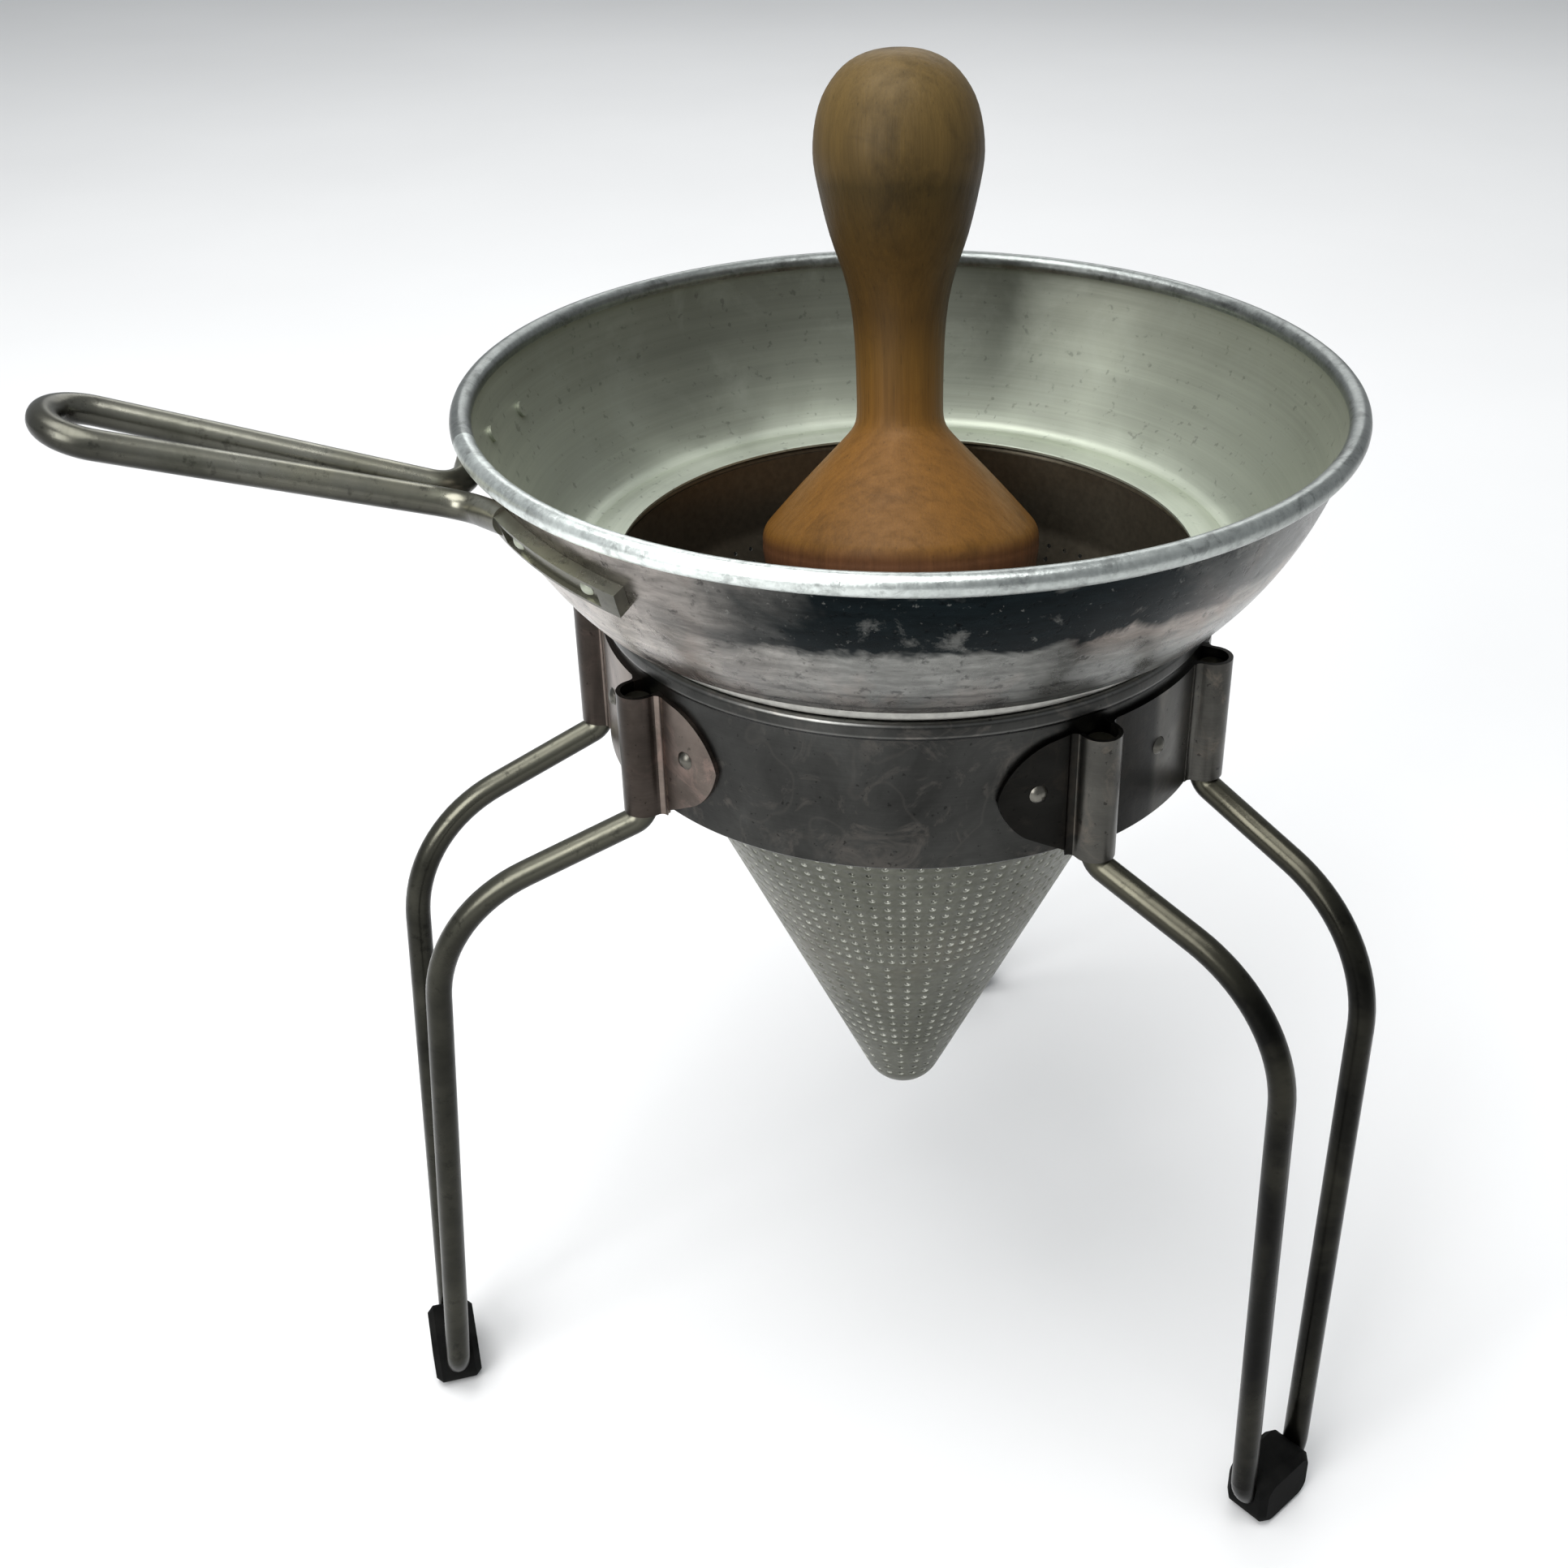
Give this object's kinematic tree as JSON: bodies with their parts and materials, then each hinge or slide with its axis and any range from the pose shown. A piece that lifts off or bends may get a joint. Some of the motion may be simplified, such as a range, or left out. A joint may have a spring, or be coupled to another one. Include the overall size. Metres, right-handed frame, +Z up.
{
  "type": "potato ricer",
  "caption": "Cone-shaped potato ricer: a perforated metal cone under a wide bowl with a wire handle, in a three-legged wire stand with rubber feet, with a wooden pestle",
  "frame": {"origin": "on the floor, under the middle of the whole object's bounding box", "axes": "+Z up along the cone's axis; the handle points along -X; +Y is the side the pestle leans to"},
  "size_m": [0.3088, 0.2586, 0.3521],
  "materials": {
    "bowl_aluminium": "spun and polished, worn",
    "sieve_metal": "matte grey, perforated",
    "stand_steel": "satin with faint stains",
    "bracket_steel": "satin with faint stains",
    "rivet_metal": "worn bright",
    "leg_wire": "darkened with brassy patina",
    "handle_steel": "polished, tarnished",
    "foot_rubber": "matte black",
    "pestle_wood": "worn oiled wood"
  },
  "bodies": {
    "stand": {"stand_ring": "stand_steel", "leg_bracket_left": "bracket_steel", "leg_bracket_right": "bracket_steel", "leg_bracket_back": "bracket_steel", "bracket_rivet_left_right": "rivet_metal", "bracket_rivet_left_middle": "rivet_metal", "bracket_rivet_left_left": "rivet_metal", "bracket_rivet_right_right": "rivet_metal", "bracket_rivet_right_middle": "rivet_metal", "bracket_rivet_right_left": "rivet_metal", "bracket_rivet_back_right": "rivet_metal", "bracket_rivet_back_middle": "rivet_metal", "bracket_rivet_back_left": "rivet_metal"},
    "left_leg": {"leg_left": "leg_wire", "foot_left": "foot_rubber"},
    "right_leg": {"leg_right": "leg_wire", "foot_right": "foot_rubber"},
    "back_leg": {"leg_back": "leg_wire", "foot_back": "foot_rubber"},
    "strainer": {"hopper_bowl": "bowl_aluminium", "sieve_cone": "sieve_metal", "handle": "handle_steel", "handle_rivet_near_root": "rivet_metal", "handle_rivet_near_end": "rivet_metal", "handle_rivet_far_root": "rivet_metal", "handle_rivet_far_end": "rivet_metal"},
    "pestle_body": {"pestle": "pestle_wood"}
  },
  "joints": [
    {"name": "pull_out_left", "type": "slide", "parent": "stand", "child": "left_leg", "axis": [0, 0, -1], "range_m": [0, 0.04]},
    {"name": "pull_out_right", "type": "slide", "parent": "stand", "child": "right_leg", "axis": [0, 0, -1], "range_m": [0, 0.04]},
    {"name": "pull_out_back", "type": "slide", "parent": "stand", "child": "back_leg", "axis": [0, 0, -1], "range_m": [0, 0.04]},
    {"name": "lift_out_strainer", "type": "slide", "parent": "stand", "child": "strainer", "axis": [0, 0, 1], "range_m": [0, 0.18]},
    {"name": "roll_pestle_round", "type": "hinge", "parent": "strainer", "child": "pestle_body", "pos_m": [0.0444, -0.0012, 0.155], "axis": [0, 0, 1], "continuous": true}
  ]
}
